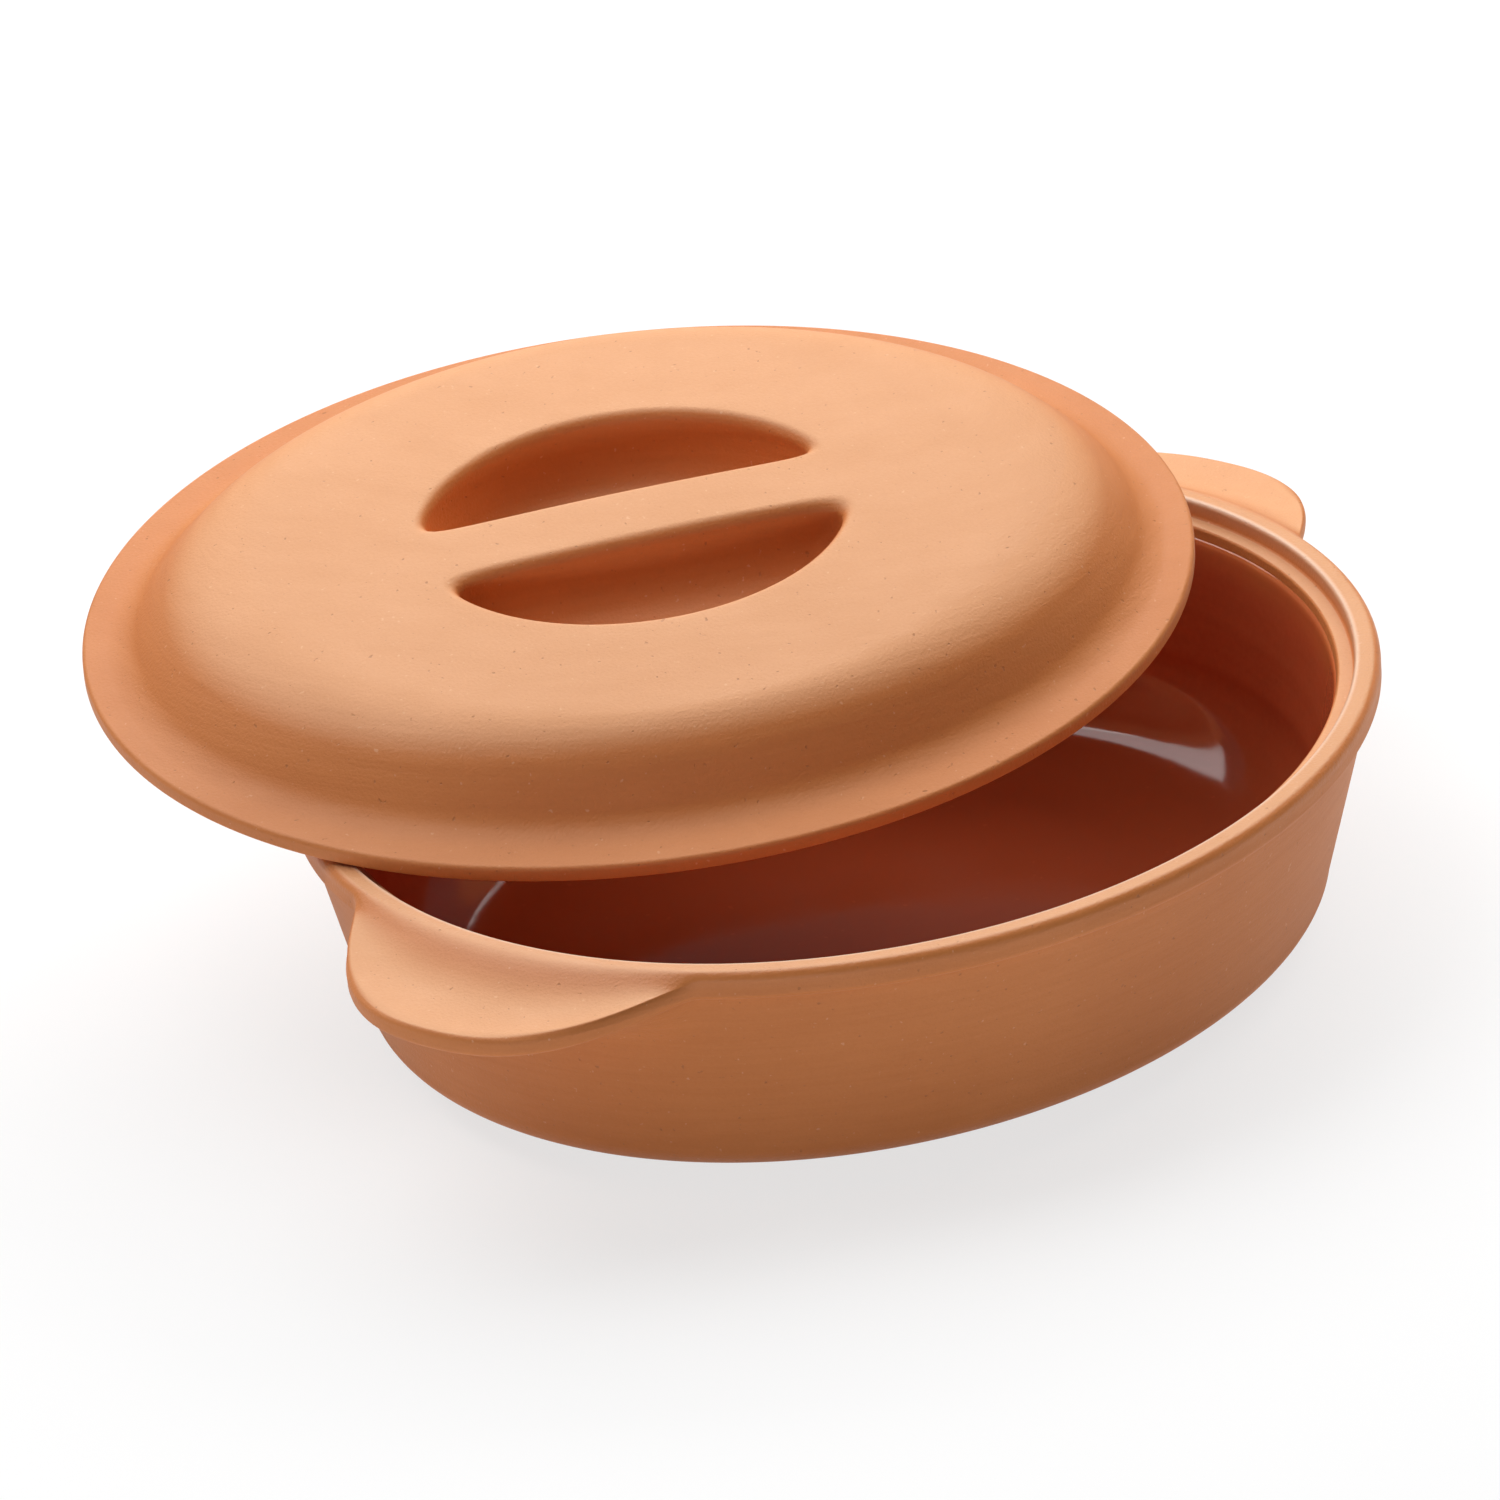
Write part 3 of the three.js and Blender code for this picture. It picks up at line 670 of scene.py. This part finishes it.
# Cloudy tone, fine sand grain, pale and dark grit, and streaks left by the sponge
def clay_body_group():
    tree, nodes, given, out = new_group(
        "clay_body",
        [("Vector", "NodeSocketVector", None), ("Grain Scale", "NodeSocketFloat", CLAY_GRAIN_SCALE),
         ("Streak Scale", "NodeSocketFloat", STREAK_SCALE)],
        [("Tone", "NodeSocketFloat"), ("Pale Grit", "NodeSocketFloat"), ("Dark Grit", "NodeSocketFloat"),
         ("Height", "NodeSocketFloat")],
    )
    place = given.outputs["Vector"]
    grain_scale = given.outputs["Grain Scale"]
    cloud = nodes.noise(place, CLOUD_SCALE, detail=3.0, roughness=0.55)
    grain = nodes.noise(place, grain_scale, roughness=0.6)
    along = nodes.vector("MULTIPLY", place, STREAK_STRETCH)
    streak = nodes.noise(along, given.outputs["Streak Scale"], detail=3.0, roughness=0.6)
    cloudy = nodes.spread(cloud, NOISE_LOW, NOISE_HIGH, 0.0, CLOUD_SHARE)
    streaky = nodes.spread(streak, NOISE_LOW, NOISE_HIGH, 0.0, STREAK_SHARE)
    grainy = nodes.spread(grain, NOISE_LOW, NOISE_HIGH, 0.0, GRAIN_SHARE)
    tone = nodes.math("ADD", nodes.math("ADD", cloudy, streaky), grainy)
    grit_scale = nodes.math("MULTIPLY", grain_scale, GRIT_TO_GRAIN)
    pale = nodes.spread(nodes.noise(place, grit_scale, detail=1.0), GRIT_FROM, GRIT_TO)
    shifted = nodes.vector("ADD", place, DARK_GRIT_SHIFT)
    dark = nodes.spread(nodes.noise(shifted, grit_scale, detail=1.0), GRIT_FROM, GRIT_TO)
    mean = nodes.math("MULTIPLY", nodes.math("ADD", grain, streak), 0.5)
    height = nodes.math("SUBTRACT", mean, nodes.math("MULTIPLY", dark, DARK_GRIT_PIT))
    results = {"Tone": tone, "Pale Grit": pale, "Dark Grit": dark, "Height": height}
    for socket, value in results.items():
        tree.links.new(value, out.inputs[socket])
    return tree


def new_material(name):
    material = bpy.data.materials.new(name)
    material.use_nodes = True
    nodes = Nodes(material.node_tree)
    return material, nodes, material.node_tree.nodes["Principled BSDF"]


# Deep and light tones of the clay on its sides, deepened and saturated as painted shade, and paler tones on
# faces that look up, as painted light. Lengths are millimetres
SHADED_SIDE_DEEP = (0.578, 0.180, 0.044, 1)
SHADED_SIDE_LIGHT = (0.657, 0.223, 0.060, 1)
LIT_TOP_DEEP = (0.672, 0.311, 0.135, 1)
LIT_TOP_LIGHT = (0.752, 0.366, 0.173, 1)
CLAY_PALE_GRIT = (0.86, 0.55, 0.34, 1)
CLAY_DARK_GRIT = (0.33, 0.11, 0.035, 1)
CLAY_PAINTED_HIGHLIGHT = (0.86, 0.62, 0.46, 1)
PALE_GRIT_SHARE = 0.3
DARK_GRIT_SHARE = 0.4
CLAY_ROUGHNESS = (0.64, 0.56)
CLAY_GLOSS = 0.5
CLAY_RELIEF = 0.75
CLAY_RELIEF_DEPTH = 0.5
DISH_STREAK_SCALE = 520.0
LID_STREAK_SCALE = 460.0

# The lip is smoother where the lid rubs it, and a pale painted highlight runs along its inner edge
LIP_POLISH = 0.2
PAINTED_HIGHLIGHT_SHARE = 0.8
PAINTED_HIGHLIGHT_INSET = 6.6
PAINTED_HIGHLIGHT_WIDTH = 1.3

# How far a face looks up where the painted light on top starts and where it is full, and how it fades lower
# down as painted shade
DISH_PAINTED_LIGHT_FROM = 0.86
LID_PAINTED_LIGHT_FROM = 0.66
PAINTED_LIGHT_TO = 0.985
PAINTED_LIGHT_BLEND = 7.0
PAINTED_LIGHT_BELOW = 0.22


# Share of the painted light: full on faces that look up, less below a height along the piece's own upright,
# as painted shade lower down
def painted_light_share(nodes, place, upright, painted_light_height, painted_light_from):
    facing = nodes.add("ShaderNodeNewGeometry").outputs["Normal"]
    looks_up = nodes.spread(nodes.part(facing, "Z"), painted_light_from, PAINTED_LIGHT_TO)
    standing = nodes.vector("DOT_PRODUCT", place, upright, "Value")
    low = (painted_light_height - PAINTED_LIGHT_BLEND) * MM
    high = (painted_light_height + PAINTED_LIGHT_BLEND) * MM
    return nodes.math("MULTIPLY", looks_up, nodes.spread(standing, low, high, PAINTED_LIGHT_BELOW, 1.0))


# Mask of the painted highlight along the lip's inner edge, by how far out from the middle of the oval a
# point lies
def painted_highlight_edge(nodes, place):
    edge = ((RIM_HALF_LENGTH - PAINTED_HIGHLIGHT_INSET) * MM, (RIM_HALF_WIDTH - PAINTED_HIGHLIGHT_INSET) * MM, 1.0)
    flat = nodes.vector("MULTIPLY", nodes.vector("DIVIDE", place, edge), (1, 1, 0))
    out = nodes.vector("LENGTH", flat, output="Value")
    off = nodes.math("ABSOLUTE", nodes.math("SUBTRACT", out, 1.0))
    return nodes.spread(off, 0.0, PAINTED_HIGHLIGHT_WIDTH / RIM_HALF_LENGTH, PAINTED_HIGHLIGHT_SHARE, 0.0)


def clay_material(name, clay_body, streak_scale, upright, painted_light_height, painted_light_from, has_lip):
    material, nodes, shader = new_material(name)
    place = nodes.add("ShaderNodeTexCoord").outputs["Object"]
    body = nodes.add("ShaderNodeGroup", {"Vector": place}, node_tree=clay_body)
    body.inputs["Streak Scale"].default_value = streak_scale
    tone = body.outputs["Tone"]
    side = nodes.mix(tone, SHADED_SIDE_DEEP, SHADED_SIDE_LIGHT)
    top = nodes.mix(tone, LIT_TOP_DEEP, LIT_TOP_LIGHT)
    # Painted light and shade: the paler top tone where faces look up, the deeper side tone elsewhere
    colour = nodes.mix(painted_light_share(nodes, place, upright, painted_light_height, painted_light_from), side, top)
    pale = nodes.math("MULTIPLY", body.outputs["Pale Grit"], PALE_GRIT_SHARE)
    dark = nodes.math("MULTIPLY", body.outputs["Dark Grit"], DARK_GRIT_SHARE)
    colour = nodes.mix(dark, nodes.mix(pale, colour, CLAY_PALE_GRIT), CLAY_DARK_GRIT)
    rough = nodes.spread(tone, 0.0, 1.0, *CLAY_ROUGHNESS)
    if has_lip:
        on_lip = nodes.spread(nodes.part(place, "Z"), LEDGE_TOP * MM, DISH_HEIGHT * MM)
        rough = nodes.math("SUBTRACT", rough, nodes.math("MULTIPLY", on_lip, LIP_POLISH))
        # Painted highlight: a pale line along the lip's inner edge
        lip_highlight = nodes.math("MULTIPLY", painted_highlight_edge(nodes, place), on_lip)
        colour = nodes.mix(lip_highlight, colour, CLAY_PAINTED_HIGHLIGHT)
    nodes.tree.links.new(colour, shader.inputs["Base Color"])
    nodes.tree.links.new(rough, shader.inputs["Roughness"])
    grain = {"Height": body.outputs["Height"], "Strength": CLAY_RELIEF, "Distance": CLAY_RELIEF_DEPTH * MM}
    relief = nodes.add("ShaderNodeBump", grain)
    nodes.tree.links.new(relief.outputs["Normal"], shader.inputs["Normal"])
    shader.inputs["Specular IOR Level"].default_value = CLAY_GLOSS
    return material


# Glaze, its lengths in millimetres
GLAZE_DEEP = (0.53, 0.098, 0.034, 1)
GLAZE_RED = (0.69, 0.150, 0.056, 1)
GLAZE_AMBER = (0.62, 0.180, 0.050, 1)
GLAZE_POOL = (0.37, 0.070, 0.024, 1)
GLAZE_THIN_RUN = 10.0
GLAZE_POOL_RISE = 24.0
GLAZE_GRAIN_SCALE = 500.0
GLAZE_STREAK_SCALE = 160.0
GLAZE_CLOUD_SCALE = 26.0
GLAZE_CLOUD_RANGE = (0.35, 0.65)
AMBER_SHARE = (0.3, 0.9)
GLAZE_GRIT_SHARE = 0.35
GLAZE_RIPPLE_SCALE = 60.0
GLAZE_RIPPLE = 0.05
GLAZE_RIPPLE_DEPTH = 1.0
GLAZE_SHEEN_SCALE = 35.0
GLAZE_ROUGHNESS = (0.05, 0.1)
GLAZE_IOR = 1.6


# Glossy coat over red clay: thin and amber at its upper edge, deep where it pooled at the floor
def glaze_material(clay_body):
    material, nodes, shader = new_material("red_brown_glaze")
    place = nodes.add("ShaderNodeTexCoord").outputs["Object"]
    height = nodes.part(place, "Z")
    body = nodes.add("ShaderNodeGroup", {"Vector": place}, node_tree=clay_body)
    body.inputs["Grain Scale"].default_value = GLAZE_GRAIN_SCALE
    body.inputs["Streak Scale"].default_value = GLAZE_STREAK_SCALE
    colour = nodes.mix(body.outputs["Tone"], GLAZE_DEEP, GLAZE_RED)
    above_pool = nodes.spread(height, FLOOR_THICKNESS * MM, (FLOOR_THICKNESS + GLAZE_POOL_RISE) * MM)
    colour = nodes.mix(above_pool, GLAZE_POOL, colour)
    top = DISH_HEIGHT - GLAZE_TOP_DEPTH
    thin = nodes.spread(height, (top - GLAZE_THIN_RUN) * MM, top * MM)
    cloud = nodes.noise(place, GLAZE_CLOUD_SCALE, detail=4.0, roughness=0.6)
    amber = nodes.math("MULTIPLY", thin, nodes.spread(cloud, *GLAZE_CLOUD_RANGE, *AMBER_SHARE))
    colour = nodes.mix(amber, colour, GLAZE_AMBER)
    grit = nodes.math("MULTIPLY", body.outputs["Dark Grit"], GLAZE_GRIT_SHARE)
    nodes.tree.links.new(nodes.mix(grit, colour, GLAZE_DEEP), shader.inputs["Base Color"])
    ripple = nodes.noise(place, GLAZE_RIPPLE_SCALE)
    waves = {"Height": ripple, "Strength": GLAZE_RIPPLE, "Distance": GLAZE_RIPPLE_DEPTH * MM}
    relief = nodes.add("ShaderNodeBump", waves)
    nodes.tree.links.new(relief.outputs["Normal"], shader.inputs["Normal"])
    sheen = nodes.noise(place, GLAZE_SHEEN_SCALE)
    rough = nodes.spread(sheen, NOISE_LOW, NOISE_HIGH, *GLAZE_ROUGHNESS)
    nodes.tree.links.new(rough, shader.inputs["Roughness"])
    shader.inputs["IOR"].default_value = GLAZE_IOR
    return material


# Stage, in metres
FLOOR_SIZE = 80.0
FLOOR_COLOUR = (0.9, 0.9, 0.9, 1)
FLOOR_ROUGHNESS = 0.9
FLOOR_GLOSS = 0.1
FLOOR_GLOW = 0.72


def lay_floor():
    half = FLOOR_SIZE / 2
    mesh = bpy.data.meshes.new("floor")
    corners = [(-half, -half, 0), (half, -half, 0), (half, half, 0), (-half, half, 0)]
    mesh.from_pydata(corners, [], [(0, 1, 2, 3)])
    floor = new_object("floor", mesh)
    material, nodes, shader = new_material("pale_floor")
    shader.inputs["Base Color"].default_value = FLOOR_COLOUR
    shader.inputs["Roughness"].default_value = FLOOR_ROUGHNESS
    shader.inputs["Specular IOR Level"].default_value = FLOOR_GLOSS
    light = nodes.add("ShaderNodeEmission", {"Color": (1, 1, 1, 1), "Strength": 1.0})
    path = nodes.add("ShaderNodeLightPath")
    mirrored = nodes.math("MAXIMUM", path.outputs["Is Glossy Ray"], path.outputs["Is Transmission Ray"])
    seen = nodes.math("MAXIMUM", path.outputs["Is Camera Ray"], mirrored)
    share = nodes.math("MULTIPLY", seen, FLOOR_GLOW)
    both = nodes.add("ShaderNodeMixShader", {0: share, 1: shader.outputs[0], 2: light.outputs[0]})
    nodes.tree.links.new(both.outputs[0], nodes.tree.nodes["Material Output"].inputs["Surface"])
    mesh.materials.append(material)


ROOM_LIGHT = 0.08


def light_room():
    world = bpy.data.worlds.new("studio")
    world.use_nodes = True
    bpy.context.scene.world = world
    background = world.node_tree.nodes["Background"]
    background.inputs["Color"].default_value = (1, 1, 1, 1)
    background.inputs["Strength"].default_value = ROOM_LIGHT


# A place beside the roaster, as it is seen in the photo: to the right, behind and above it
def stand(right, behind, up):
    away = (CAMERA_AIM - CAMERA_PLACE).xy.normalized()
    place = Vector((away.y, -away.x)) * right + away * behind
    return Vector((place.x, place.y, up))


LAMP_AIM = Vector((0.0, 0.03, 0.07))


def add_softbox(name, place, width, depth, power, mirrored=True):
    lamp = bpy.data.lights.new(name, "AREA")
    lamp.shape = "RECTANGLE"
    lamp.size = width
    lamp.size_y = depth
    lamp.energy = power
    softbox = bpy.data.objects.new(name, lamp)
    softbox.location = place
    softbox.rotation_euler = (LAMP_AIM - place).to_track_quat("-Z", "Y").to_euler()
    softbox.visible_glossy = mirrored
    bpy.context.scene.collection.objects.link(softbox)


CAMERA_PLACE = Vector((-2.8734, -1.9909, 1.7534))
CAMERA_AIM = Vector((0.0948, 0.0969, 0.0))
CAMERA_LENS = 340.15
CAMERA_SENSOR = 36.0
CAMERA_FAR = 50.0
CAMERA_ROLL = math.radians(-3.63)


def set_camera():
    data = bpy.data.cameras.new("camera")
    data.lens = CAMERA_LENS
    data.sensor_width = CAMERA_SENSOR
    data.clip_end = CAMERA_FAR
    camera = bpy.data.objects.new("camera", data)
    look = (CAMERA_AIM - CAMERA_PLACE).to_track_quat("-Z", "Y").to_matrix()
    turned = look @ Matrix.Rotation(CAMERA_ROLL, 3, "Z")
    camera.matrix_world = Matrix.Translation(CAMERA_PLACE) @ turned.to_4x4()
    bpy.context.scene.collection.objects.link(camera)
    bpy.context.scene.camera = camera


def set_pieces():
    clay_body = clay_body_group()
    dish_upright = (0, 0, 1)
    dish_clay = clay_material(
        "dish_bare_clay", clay_body, DISH_STREAK_SCALE, dish_upright, 0.0, DISH_PAINTED_LIGHT_FROM, has_lip=True)
    dish = new_object("dish_clay", dish_mesh())
    dish.data.materials.append(dish_clay)
    glaze = new_object("dish_glaze_coat", glaze_mesh())
    glaze.data.materials.append(glaze_material(clay_body))
    mesh = lid_mesh()
    place = lean_lid(mesh)
    half_up_dome = place.dot(LID_UPRIGHT) / MM + (BRIM_THICKNESS + PLATEAU_HEIGHT) / 2
    lid_clay = clay_material(
        "lid_bare_clay", clay_body, LID_STREAK_SCALE, LID_UPRIGHT, half_up_dome, LID_PAINTED_LIGHT_FROM, has_lip=False)
    lid = new_object("lid_clay", mesh)
    lid.data.materials.append(lid_clay)
    for piece, node, body, slot in (
        (dish, "dish", "dish", "bare_clay"),
        (glaze, "dish_glaze", "dish", "brown_glaze"),
        (lid, "lid", "lid", "bare_clay"),
    ):
        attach(piece, body)
        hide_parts(node)


bpy.context.scene.view_settings.view_transform = "Standard"
set_camera()
lay_floor()
light_room()
add_softbox("ceiling_bank", stand(right=-0.5, behind=0.95, up=2.05), width=3.6, depth=2.3, power=56.0)
add_softbox("left_softbox", stand(right=-1.1, behind=0.3, up=2.1), width=1.6, depth=1.6, power=13.0)
add_softbox("front_softbox", stand(right=-0.2, behind=-2.2, up=0.14), width=1.6, depth=0.26, power=6.6)
# These two give light only, so that the glaze does not mirror them
add_softbox("back_softbox", stand(right=0.0, behind=1.75, up=1.2), width=2.4, depth=0.5, power=21.0,
            mirrored=False)
add_softbox("right_softbox", stand(right=1.3, behind=1.2, up=1.2), width=1.2, depth=0.8, power=15.0,
            mirrored=False)
set_pieces()
